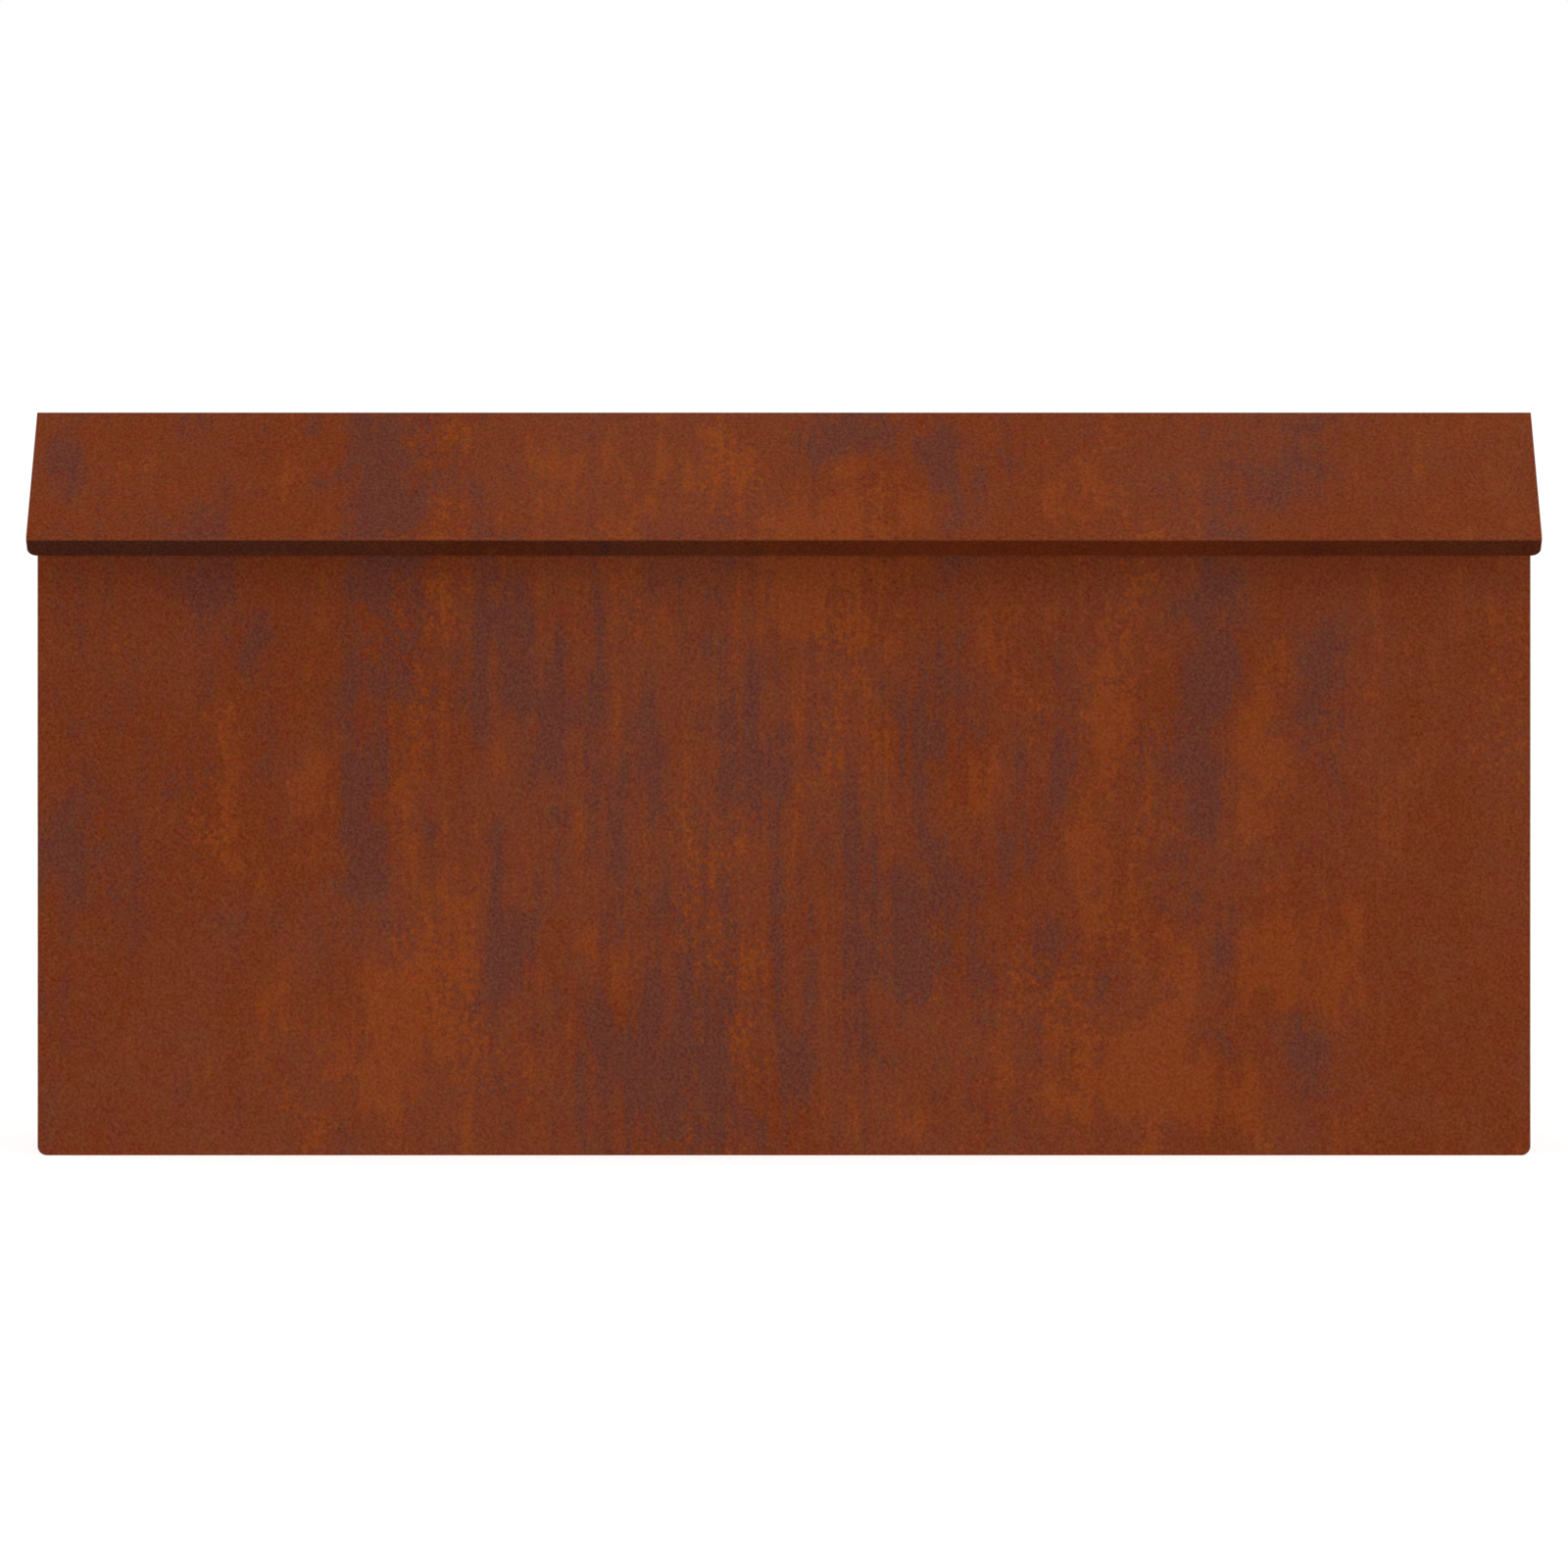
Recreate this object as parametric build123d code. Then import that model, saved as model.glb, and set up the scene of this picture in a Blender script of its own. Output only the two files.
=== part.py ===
from build123d import *
import math
import os

# A long planter box of folded weathering steel, in millimetres.
# +X runs along the box to the right, -Y is the front and +Z is up.
# The origin is on the ground, under the middle of the box.

# Overall sizes: the coping folds stand at full height, the walls are body_depth apart outside
length = 1200
height = 597
body_depth = 500

# Sheet of the four panels, and its folds
sheet = 2
bend_inside = 1
fold_relief = 3

# Copings, folded outwards and down from the top of the front and back walls
coping_angle = 40  # degrees from the vertical
coping_flat = 132
lip_turn = 90  # degrees from the coping back towards the wall
lip_flat = 17
corner_radius = 7.5

# Gussets welded between a wall and its coping, placed by their distance down the slope
gusset_plate = 3
gusset_pitch = 400
gusset_start = 14
gusset_end = 100

# End panels, set in from the ends of the walls
end_inset = 10
end_ground_gap = 8
end_side_flange = 40
end_top_flange = 30
end_bottom_flange = 25

# Floor tray, which rests on the bearers
tray_sheet = 2
tray_height = 90
tray_skirt = 30
tray_clearance = 1
drain_r = 10
drain_row_inset = 130
drains_per_bay = 2
access_r = 8

# Bearers: upright channels across the box, with a tab folded down at each end
bearer_plate = 3
bearer_bend_inside = 3
bearer_width = 50
bearer_underside = 46
bearer_inset = 120
bearer_flange_end_gap = 12
tab_ground_gap = 12
tab_stud_height = 28
tab_stud_offset = 10
bearer_hole_gap = 0.5
anchor_r = 7
anchor_offset = 60

# Top-hat stiffeners at the middle of both walls
stiffener_sheet = 2
stiffener_bend_inside = 2
stiffener_crown = 50
stiffener_depth = 25
stiffener_brim = 28
stiffener_stud_edge = 12
stiffener_floor_gap = 2
stiffener_rim_gap = 37
stiffener_stud_from_foot = 58
stiffener_stud_from_top = 50
stiffener_stud_rows = 3

# Cross tie between the two stiffeners
tie_width = 40
tie_plate = 4
tie_bend_inside = 4
tie_rim_gap = 115
tie_leg = 45
tie_bolt_drop = 27

# Lifting brackets, one inside each corner
bracket_plate = 5
bracket_bend_inside = 5
bracket_height = 83
bracket_rim_gap = 22
bracket_seat = 42
bracket_edge_gap = 6
bracket_leg = 50
bracket_corner_radius = 12
lifting_hole_r = 9
lifting_hole_from_edge = 18

# M8 fasteners
stud_r = 4
stud_length = 20
stud_hole_r = 4.5
washer_r = 8
washer_plate = 1.6
nut_flats = 13
nut_height = 6.5
bolt_head_height = 5.3
bolt_length = 20
thread_clearance = 0.05
tip_chamfer = 0.8

# Rows of M8 studs at the corners
stud_low = 30
stud_over_tray = 60
stud_under_bracket = 80
stud_rows_between = 3
bracket_stud_edge = 20

# Levelling feet with an M12 spindle
foot_inset = 60
sole_height = 4
sole_r = 24
pad_r = 25
pad_edge_radius = 2
pad_disc = 8
boss_r = 12
boss_height = 18
pin_r = 4
pin_length = 20
pin_running_clearance = 0.05
pin_end_gap = 0.4
foot_end_play = 0.1
collar_flats = 19
collar_height = 8
spindle_r = 6
spindle_tray_gap = 8
key_flats = 6
key_depth = 7
foot_nut_height = 10
lock_nut_height = 7

# Hexagon nuts and heads: the turned corners meet the end faces just outside the flats
bevel_face_ratio = 0.52
blank_ratio = 0.6

# What follows from the sizes above
wall_inner = body_depth / 2 - sheet
end_outer = length / 2 - end_inset
end_inner = end_outer - sheet
fold_centre_z = height - bend_inside - sheet
bearer_x = length / 2 - bearer_inset
foot_y = body_depth / 2 - foot_inset
crown_y = wall_inner - stiffener_depth
corner_stud_x = end_outer - (sheet + bend_inside + end_side_flange) / 2
stiffener_stud_x = stiffener_crown / 2 + stiffener_brim - stiffener_stud_edge
stiffener_foot = tray_height + stiffener_floor_gap
stiffener_top = height - stiffener_rim_gap
tie_top = height - tie_rim_gap
tie_bolt_z = tie_top - tie_bolt_drop
bracket_top = height - bracket_rim_gap
bracket_low = bracket_top - bracket_height
bearer_floor = bearer_underside + bearer_plate
bracket_outer_x = end_inner - bracket_edge_gap
bracket_inner_x = bracket_outer_x - bracket_seat
bracket_seat_y = wall_inner - sheet
pad_top = sole_height + pad_disc
boss_top = pad_top + boss_height
on_base = (Align.CENTER, Align.CENTER, Align.MIN)


def evenly(first, last, count):
    """Heights at equal steps from the first to the last."""
    return [first + (last - first) * step / (count - 1) for step in range(count)]


bracket_stud_rows = [bracket_low + bracket_stud_edge, bracket_top - bracket_stud_edge]
wall_stud_rows = [stud_low] + evenly(
    tray_height + stud_over_tray, bracket_stud_rows[0] - stud_under_bracket, stud_rows_between
)
stiffener_stud_heights = evenly(
    stiffener_foot + stiffener_stud_from_foot,
    stiffener_top - stiffener_stud_from_top,
    stiffener_stud_rows,
)


def folded(points, thickness, inside_radius):
    """The section of a sheet folded along points that run through the middle of its thickness."""
    line = FilletPolyline(*points, radius=inside_radius + thickness / 2)
    return trace(line, line_width=thickness)


def drilled(part, places, radius, plane):
    """The part with a round hole at each place, right through it along the plane's normal."""
    drill = extrude(plane * Circle(radius), length, both=True)
    return part - [Pos(*place) * drill for place in places]


def folded_pan(width, depth, flanges, thickness, inside_radius):
    """A pan with its outer face up at z = 0, and its edges at -X, +X, -Y and +Y folded down.

    Its corners are notched by the fold relief, so that the four flanges can be folded."""
    left, right, front, back = flanges
    notch = inside_radius + thickness + fold_relief
    middle = thickness / 2
    x, y = width / 2 - middle, depth / 2 - middle
    across = folded([(-x, -left), (-x, -middle), (x, -middle), (x, -right)], thickness, inside_radius)
    along = folded([(-y, -front), (-y, -middle), (y, -middle), (y, -back)], thickness, inside_radius)
    return extrude(Plane.XZ * across, depth / 2 - notch, both=True) + extrude(
        Plane.YZ * along, width / 2 - notch, both=True
    )


def front_panel():
    """The front wall, its sloping coping and the return lip, folded from one sheet."""
    middle = bend_inside + sheet / 2
    slope = math.radians(coping_angle)
    lip = math.radians(coping_angle - lip_turn)
    fold_reach = middle * math.tan(math.radians(180 - coping_angle) / 2)
    lip_reach = middle * math.tan(math.radians(lip_turn) / 2)
    foot = Vector(sheet / 2 - body_depth / 2, 0)
    top = Vector(foot.X, fold_centre_z + fold_reach)
    edge = top - Vector(math.sin(slope), math.cos(slope)) * (fold_reach + coping_flat + lip_reach)
    end = edge - Vector(math.sin(lip), math.cos(lip)) * (lip_reach + lip_flat)
    panel = extrude(Plane.YZ * folded([foot, top, edge, end], sheet, bend_inside), length / 2, both=True)
    free_corners = panel.edges().filter_by(lambda edge: abs(edge.length - sheet) < 1e-6)
    return fillet(free_corners, corner_radius)


def front_coping_gussets():
    """Plates under the front coping, welded to it and to the wall."""
    slope = math.radians(coping_angle)
    down = Vector(-math.sin(slope), -math.cos(slope))
    outwards = Vector(-math.cos(slope), math.sin(slope))
    wall_y = -body_depth / 2
    underside = Vector(wall_y - bend_inside, fold_centre_z) + outwards * bend_inside
    high, low = underside + down * gusset_start, underside + down * gusset_end
    plate = make_face(Polyline(high, low, (wall_y, low.Y), (wall_y, high.Y), close=True))
    gusset = extrude(Plane.YZ * plate, gusset_plate / 2, both=True)
    return [Pos(x, 0, 0) * gusset for x in (-gusset_pitch, 0, gusset_pitch)]


def right_end_panel():
    """The right end: a pan on its side, bolted inside the two walls."""
    tall = fold_centre_z - end_ground_gap
    flanges = (end_side_flange, end_side_flange, end_bottom_flange, end_top_flange)
    pan = folded_pan(2 * wall_inner, tall, flanges, sheet, bend_inside)
    panel = Pos(end_outer, 0, end_ground_gap + tall / 2) * (Plane.YZ * pan)
    rows = wall_stud_rows + bracket_stud_rows
    return drilled(panel, [(corner_stud_x, 0, z) for z in rows], stud_hole_r, Plane.XZ)


def floor_tray():
    """The loose floor, with drain holes between the bearers and holes over the feet."""
    wide = 2 * (end_inner - tray_clearance)
    deep = 2 * (wall_inner - sheet - tray_clearance)
    tray = Pos(0, 0, tray_height) * folded_pan(wide, deep, [tray_skirt] * 4, tray_sheet, bend_inside)
    steps = [bearer_x * step / (drains_per_bay + 1) for step in range(1, drains_per_bay + 1)]
    row_y = body_depth / 2 - drain_row_inset
    drains = [(side * x, y, 0) for side in (-1, 1) for x in steps for y in (-row_y, row_y)]
    tray = drilled(tray, drains, drain_r, Plane.XY)
    return drilled(tray, foot_places.values(), access_r, Plane.XY)


def bearer(x, holds_feet):
    """A channel across the box at x, whose end tabs are bolted to the walls."""
    middle = bearer_plate / 2
    side, web = bearer_width / 2 - middle, bearer_underside + middle
    top, end = tray_height - tray_sheet, wall_inner - middle
    tab = bearer_width / 2 - bearer_plate - bearer_bend_inside
    channel = folded([(-side, top), (-side, web), (side, web), (side, top)], bearer_plate, bearer_bend_inside)
    strip = folded(
        [(-end, tab_ground_gap), (-end, web), (end, web), (end, tab_ground_gap)],
        bearer_plate,
        bearer_bend_inside,
    )
    part = extrude(Plane.XZ * channel, wall_inner - bearer_flange_end_gap, both=True)
    part += extrude(Plane.YZ * strip, tab, both=True)
    studs = [(side * tab_stud_offset, 0, tab_stud_height) for side in (-1, 1)]
    part = drilled(part, studs, stud_hole_r, Plane.XZ)
    if holds_feet:
        part = drilled(part, [(0, -foot_y, 0), (0, foot_y, 0)], spindle_r + bearer_hole_gap, Plane.XY)
        part = drilled(part, [(0, -anchor_offset, 0), (0, anchor_offset, 0)], anchor_r, Plane.XY)
    return Pos(x, 0, 0) * part


def front_stiffener():
    """A top-hat upright bolted inside the front wall, with a hole for the cross tie's bolt."""
    middle = stiffener_sheet / 2
    web_x = stiffener_crown / 2 - middle
    brim_x = stiffener_crown / 2 + stiffener_brim
    brim_y, top_y = middle - wall_inner, -crown_y - middle
    half = [(brim_x, brim_y), (web_x, brim_y), (web_x, top_y)]
    section = folded(half + [(-x, y) for x, y in reversed(half)], stiffener_sheet, stiffener_bend_inside)
    hat = Pos(0, 0, stiffener_foot) * extrude(section, stiffener_top - stiffener_foot)
    studs = [(side * stiffener_stud_x, 0, z) for side in (-1, 1) for z in stiffener_stud_heights]
    return drilled(hat, studs + [(0, 0, tie_bolt_z)], stud_hole_r, Plane.XZ)


def cross_tie():
    """A flat bar from stiffener to stiffener, with its ends folded down and bolted to them."""
    middle = tie_plate / 2
    end, low, high = crown_y - middle, tie_top - tie_leg, tie_top - middle
    section = folded([(-end, low), (-end, high), (end, high), (end, low)], tie_plate, tie_bend_inside)
    bar = extrude(Plane.YZ * section, tie_width / 2, both=True)
    return drilled(bar, [(0, 0, tie_bolt_z)], stud_hole_r, Plane.XZ)


def right_back_lifting_bracket():
    """A thick angle bolted over the end panel's flange, with a lifting hole in its free leg."""
    middle = bracket_plate / 2
    seat, leg = bracket_seat_y - middle, bracket_inner_x + middle
    edge_y = bracket_seat_y - bracket_leg
    section = folded([(bracket_outer_x, seat), (leg, seat), (leg, edge_y)], bracket_plate, bracket_bend_inside)
    bracket = Pos(0, 0, bracket_low) * extrude(section, bracket_height)
    leg_corners = bracket.faces().sort_by(Axis.Y)[0].edges().filter_by(Axis.X)
    bracket = fillet(leg_corners, bracket_corner_radius)
    bracket = drilled(bracket, [(corner_stud_x, 0, z) for z in bracket_stud_rows], stud_hole_r, Plane.XZ)
    middle_z = bracket_low + bracket_height / 2
    return drilled(bracket, [(0, edge_y + lifting_hole_from_edge, middle_z)], lifting_hole_r, Plane.YZ)


def hexagon(across_flats, thickness):
    """A nut blank or bolt head standing on z = 0, with its corners turned off at both ends."""
    blank_r = blank_ratio * across_flats
    bevel = blank_r - bevel_face_ratio * across_flats
    blank = Cylinder(blank_r, thickness, align=on_base)
    blank = chamfer(blank.edges().filter_by(GeomType.CIRCLE), bevel)
    return blank & extrude(RegularPolygon(across_flats / 2, 6, major_radius=False), thickness)


def nut(across_flats, thickness, thread_r):
    """A hexagon nut standing on z = 0."""
    hole = Cylinder(thread_r + thread_clearance, thickness, align=on_base)
    return hexagon(across_flats, thickness) - hole


def rod(radius, rod_length):
    """A fastener's shank standing on z = 0, with its far end chamfered."""
    shank = Cylinder(radius, rod_length, align=on_base)
    return chamfer(shank.edges().group_by(Axis.Z)[-1], tip_chamfer)


def washer():
    """An M8 washer standing on z = 0."""
    hole = Cylinder(stud_hole_r, washer_plate, align=on_base)
    return Cylinder(washer_r, washer_plate, align=on_base) - hole


def wall_studs():
    """Where the studs stand on one wall: x, z and the thickness that they clamp."""
    rows = [(corner_stud_x, z, sheet) for z in wall_stud_rows]
    rows += [(corner_stud_x, z, sheet + bracket_plate) for z in bracket_stud_rows]
    rows += [(stiffener_stud_x, z, stiffener_sheet) for z in stiffener_stud_heights]
    studs = [(side * x, z, grip) for x, z, grip in rows for side in (-1, 1)]
    studs += [
        (x + side * tab_stud_offset, tab_stud_height, bearer_plate)
        for x in (-bearer_x, 0, bearer_x)
        for side in (-1, 1)
    ]
    return studs


def on_front_wall(piece, x, z, offset=0):
    """The piece stood on the inside of the front wall, or that far off it."""
    return Plane(origin=(x, offset - wall_inner, z), x_dir=(1, 0, 0), z_dir=(0, 1, 0)) * piece


def front_wall_fasteners():
    """The weld studs of the front wall, and the washers and nuts on them."""
    stud, ring, plain_nut = rod(stud_r, stud_length), washer(), nut(nut_flats, nut_height, stud_r)
    places = wall_studs()
    return {
        "weld_studs": [on_front_wall(stud, x, z) for x, z, grip in places],
        "stud_washers": [on_front_wall(ring, x, z, grip) for x, z, grip in places],
        "stud_nuts": [on_front_wall(plain_nut, x, z, grip + washer_plate) for x, z, grip in places],
    }


def front_tie_fasteners():
    """The bolt, washer and weld nut that hold the front end of the cross tie."""
    crown = stiffener_depth - stiffener_sheet
    head = stiffener_depth + tie_plate + washer_plate
    shank = Pos(0, 0, head - bolt_length) * Cylinder(stud_r, bolt_length, align=on_base)
    bolt = shank + Pos(0, 0, head) * hexagon(nut_flats, bolt_head_height)
    weld_nut = Pos(0, 0, crown - nut_height) * nut(nut_flats, nut_height, stud_r)
    ring = Pos(0, 0, head - washer_plate) * washer()
    return {
        "tie_bolts": on_front_wall(bolt, 0, tie_bolt_z),
        "tie_washers": on_front_wall(ring, 0, tie_bolt_z),
        "tie_weld_nuts": on_front_wall(weld_nut, 0, tie_bolt_z),
    }


def foot_sole():
    """The rubber sole under a foot, on the foot's own axis."""
    return Cylinder(sole_r, sole_height, align=on_base)


def foot_pad():
    """A foot's plate and boss, with the blind bore in which the spindle's pin turns."""
    disc = Pos(0, 0, sole_height) * Cylinder(pad_r, pad_disc, align=on_base)
    disc = fillet(disc.edges().group_by(Axis.Z)[-1], pad_edge_radius)
    boss = Pos(0, 0, pad_top) * Cylinder(boss_r, boss_height, align=on_base)
    bore_floor = boss_top + foot_end_play - pin_length - pin_end_gap
    bore = Cylinder(pin_r + pin_running_clearance, boss_top - bore_floor, align=on_base)
    return disc + boss - Pos(0, 0, bore_floor) * bore


def foot_spindle():
    """A foot's spindle: pin, hexagon collar and thread, with a key socket in its top end."""
    collar_z = boss_top + foot_end_play
    thread_z = collar_z + collar_height
    top = tray_height - tray_sheet - spindle_tray_gap
    spindle = Pos(0, 0, collar_z - pin_length) * Cylinder(pin_r, pin_length, align=on_base)
    spindle += Pos(0, 0, collar_z) * hexagon(collar_flats, collar_height)
    spindle += Pos(0, 0, thread_z) * rod(spindle_r, top - thread_z)
    socket = extrude(RegularPolygon(key_flats / 2, 6, major_radius=False), key_depth)
    return spindle - Pos(0, 0, top - key_depth) * socket


def mirrored(part, plane):
    """The part or list of parts seen in the plane's mirror."""
    if isinstance(part, list):
        return [mirror(piece, about=plane) for piece in part]
    return mirror(part, about=plane)


foot_places = {
    f"{side}_{face}": (x, y, 0)
    for side, x in (("left", -bearer_x), ("right", bearer_x))
    for face, y in (("front", -foot_y), ("back", foot_y))
}

parts = {
    "right_end_panel": right_end_panel(),
    "left_end_panel": mirrored(right_end_panel(), Plane.YZ),
    "floor_tray": floor_tray(),
    "left_bearer": bearer(-bearer_x, True),
    "middle_bearer": bearer(0, False),
    "right_bearer": bearer(bearer_x, True),
    "cross_tie": cross_tie(),
}

# What the front wall carries, and the same for the back wall
front_and_back = {
    "panel": front_panel(),
    "coping_gussets": front_coping_gussets(),
    "stiffener": front_stiffener(),
    **front_wall_fasteners(),
}
for name, piece in front_and_back.items():
    parts[f"front_{name}"] = piece
    parts[f"back_{name}"] = mirrored(piece, Plane.XZ)

for name, piece in front_tie_fasteners().items():
    parts[name] = [piece, mirrored(piece, Plane.XZ)]

# One lifting bracket in each corner
bracket = right_back_lifting_bracket()
parts["right_back_lifting_bracket"] = bracket
parts["left_back_lifting_bracket"] = mirrored(bracket, Plane.YZ)
parts["right_front_lifting_bracket"] = mirrored(bracket, Plane.XZ)
parts["left_front_lifting_bracket"] = mirrored(mirrored(bracket, Plane.XZ), Plane.YZ)

# Four feet, and the nuts that they turn in
weld_nut = Pos(0, 0, bearer_floor) * nut(collar_flats, foot_nut_height, spindle_r)
lock_nut = Pos(0, 0, bearer_underside - lock_nut_height) * nut(collar_flats, lock_nut_height, spindle_r)
parts["foot_weld_nuts"] = [Pos(*place) * weld_nut for place in foot_places.values()]
parts["foot_lock_nuts"] = [Pos(*place) * lock_nut for place in foot_places.values()]
for corner, place in foot_places.items():
    parts[f"{corner}_foot_sole"] = Pos(*place) * foot_sole()
    parts[f"{corner}_foot_pad"] = Pos(*place) * foot_pad()
    parts[f"{corner}_foot_spindle"] = Pos(*place) * foot_spindle()

os.makedirs("parts", exist_ok=True)
for name, piece in parts.items():
    if isinstance(piece, list):
        piece = Compound(children=piece)
    export_step(piece, f"parts/{name}.step")
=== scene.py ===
import math
import random

import bmesh
import bpy
from mathutils import Matrix, Vector


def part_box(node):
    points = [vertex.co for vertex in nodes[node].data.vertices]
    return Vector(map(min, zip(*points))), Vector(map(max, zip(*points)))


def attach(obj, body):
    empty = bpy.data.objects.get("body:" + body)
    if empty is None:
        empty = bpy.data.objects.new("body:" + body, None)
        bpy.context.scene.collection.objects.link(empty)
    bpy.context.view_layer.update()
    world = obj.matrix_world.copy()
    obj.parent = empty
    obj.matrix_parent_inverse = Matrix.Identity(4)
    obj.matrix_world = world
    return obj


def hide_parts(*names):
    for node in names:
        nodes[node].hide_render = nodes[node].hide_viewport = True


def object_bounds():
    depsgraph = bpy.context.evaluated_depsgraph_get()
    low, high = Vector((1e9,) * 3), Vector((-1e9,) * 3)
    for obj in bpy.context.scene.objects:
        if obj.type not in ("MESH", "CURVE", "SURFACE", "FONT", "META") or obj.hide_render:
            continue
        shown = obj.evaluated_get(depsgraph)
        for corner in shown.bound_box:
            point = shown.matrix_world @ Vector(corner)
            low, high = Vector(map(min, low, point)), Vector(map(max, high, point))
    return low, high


# Looks of a long planter box of folded weathering steel, in metres.
# +X runs along the box to the right, -Y is the front and +Z is up.

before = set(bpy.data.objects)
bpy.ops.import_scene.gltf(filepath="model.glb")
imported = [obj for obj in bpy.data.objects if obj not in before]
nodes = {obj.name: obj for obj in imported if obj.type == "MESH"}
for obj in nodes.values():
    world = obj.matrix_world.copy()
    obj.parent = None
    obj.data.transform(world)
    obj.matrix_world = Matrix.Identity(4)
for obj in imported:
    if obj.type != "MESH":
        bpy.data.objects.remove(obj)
cad_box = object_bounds()
random.seed(7)

# Sizes that the finishes and the small pieces share with the frame
SHEET = 0.002
COPING_SLOPE = math.radians(40)  # from the vertical
LIP = 0.017
M8_PITCH = 0.00125
M8_R = 0.004
M8_NUT_BORE_R = 0.00395
M12_PITCH = 0.00175
M12_R = 0.006
M12_NUT_BORE_R = 0.00595
THREAD_DEPTH = 0.61  # of the pitch
NUT_BEVEL = math.radians(30)
NUT_FACE = 0.96  # radius of a nut's flat face, of half its width across flats
BOLT_HEAD = 0.0053
PAD_DISC = 0.008
PAD_BOSS_R = 0.012
PAD_BORE_R = 0.00405
PIN_R = 0.004
COLLAR = 0.008
KEY_FLATS = 0.006
KEY_DEPTH = 0.007
WELD_LEG = 0.0032
SAME_POINT = 1e-6  # points closer than this are one point
AXIS_Y, AXIS_Z = 1, 2
CORNERS = [(side, face) for side in ("left", "right") for face in ("front", "back")]

wall_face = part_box("left_end_panel")[1].y + SHEET
overall_height = cad_box[1].z
coping_reach = cad_box[1].y - wall_face
# Where the coping's lower fold is, measured down the sheet from the top edge
fold_height = overall_height - coping_reach / math.sin(COPING_SLOPE)
# True heights: the lip's lower edge, and the edge of the painted shade on the wall behind it
lip_edge = overall_height - coping_reach / math.tan(COPING_SLOPE) - LIP * math.sin(COPING_SLOPE)
painted_shade_line = lip_edge + 0.0013


# ---------------------------------------------------------------- node recipes


class Field:
    """A value that changes over a surface. Arithmetic on it adds Math nodes."""

    def __init__(self, recipe, socket):
        self.recipe = recipe
        self.socket = socket

    def output(self, name):
        return Field(self.recipe, self.socket.node.outputs[name])

    def maths(self, operation, first, second=0.0):
        return self.recipe.node("Math", {"operation": operation}, {0: first, 1: second})

    def __add__(self, other):
        return self.maths("ADD", self, other)

    def __radd__(self, other):
        return self.maths("ADD", other, self)

    def __sub__(self, other):
        return self.maths("SUBTRACT", self, other)

    def __rsub__(self, other):
        return self.maths("SUBTRACT", other, self)

    def __mul__(self, other):
        return self.maths("MULTIPLY", self, other)

    def __rmul__(self, other):
        return self.maths("MULTIPLY", other, self)

    def __gt__(self, other):
        return self.maths("GREATER_THAN", self, other)

    def __abs__(self):
        return self.maths("ABSOLUTE", self)


class Recipe:
    """A node tree, and the one way that its nodes are made."""

    def __init__(self, owner):
        owner.use_nodes = True
        self.owner = owner
        self.nodes = owner.node_tree.nodes
        self.links = owner.node_tree.links
        self.nodes.clear()

    def node(self, kind, settings=None, inputs=None, output=0):
        """Adds a node: its settings first, then the values or links of its sockets."""
        made = self.nodes.new("ShaderNode" + kind)
        for key, value in (settings or {}).items():
            setattr(made, key, value)
        for key, value in (inputs or {}).items():
            if isinstance(value, Field):
                self.links.new(value.socket, made.inputs[key])
            else:
                made.inputs[key].default_value = value
        return Field(self, made.outputs[output] if made.outputs else None)


def noise(recipe, place, scale, detail=2.0, roughness=0.5):
    """Even noise about zero, roughly from -0.5 to 0.5."""
    inputs = {"Vector": place, "Scale": scale, "Detail": detail, "Roughness": roughness}
    return recipe.node("TexNoise", None, inputs, "Fac") - 0.5


def mix(recipe, share, first, second):
    """Colour first, turning into colour second as share goes from 0 to 1."""
    return recipe.node("Mix", {"data_type": "RGBA"}, {0: share, 6: first, 7: second}, 2)


def step(recipe, value, low, high, top=1.0):
    """0 up to low, rising smoothly to top at high."""
    settings = {"interpolation_type": "SMOOTHSTEP"}
    return recipe.node("MapRange", settings, {0: value, 1: low, 2: high, 3: 0.0, 4: top})


def scaled(recipe, colour, factor):
    """A colour made brighter or darker by a factor."""
    return recipe.node("VectorMath", {"operation": "SCALE"}, {0: colour, "Scale": factor})


def moved(recipe, place, offset):
    """A place shifted, so that a noise there is another one."""
    return recipe.node("VectorMath", {"operation": "ADD"}, {0: place, 1: offset})


def joined(recipe, x, y, z):
    """A vector of three numbers."""
    return recipe.node("CombineXYZ", None, {"X": x, "Y": y, "Z": z})


def split(recipe, vector):
    """The three numbers of a vector or a colour."""
    x = recipe.node("SeparateXYZ", None, {0: vector})
    return x, x.output("Y"), x.output("Z")


def finish_surface(recipe, colour, roughness, height, bump, others=None):
    """The shader, its bump of a depth in metres, its other sockets and the material's output."""
    raised = {"Height": height, "Distance": bump, "Strength": 1.0}
    normal = recipe.node("Bump", None, raised, "Normal")
    inputs = {"Base Color": colour, "Roughness": roughness, "Normal": normal}
    shader = recipe.node("BsdfPrincipled", None, {**inputs, **(others or {})}, "BSDF")
    recipe.node("OutputMaterial", None, {"Surface": shader})
    return recipe.owner


def new_recipe(name):
    return Recipe(bpy.data.materials.new(name))


# ------------------------------------------------------------- weathering steel

RUST_RED = (0.196, 0.0382, 0.0100, 1)
RUST_BROWN = (0.191, 0.0438, 0.0164, 1)
ORANGE = (0.284, 0.0570, 0.0088, 1)
PURPLE_GREY = (0.122, 0.0385, 0.0275, 1)
DARK_PIT = (0.085, 0.0240, 0.0130, 1)
# Lighter worn rust for the coping's fold, which also serves as a painted highlight along it
WORN_FOLD_HIGHLIGHT = (0.250, 0.0600, 0.0200, 1)
LIP_RED = (0.280, 0.0470, 0.0105, 1)
LIP_GREY = (0.150, 0.0400, 0.0215, 1)
# Tints that are added to a colour or taken from it
GRIT = (0.225, 0.0960, 0.0500)
MAGENTA_TINGE = (0.0190, -0.0165, 0.0045)

LIP_STRETCH = 1.75  # makes a millimetre of rust on the lip as long as one on the wall
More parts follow.
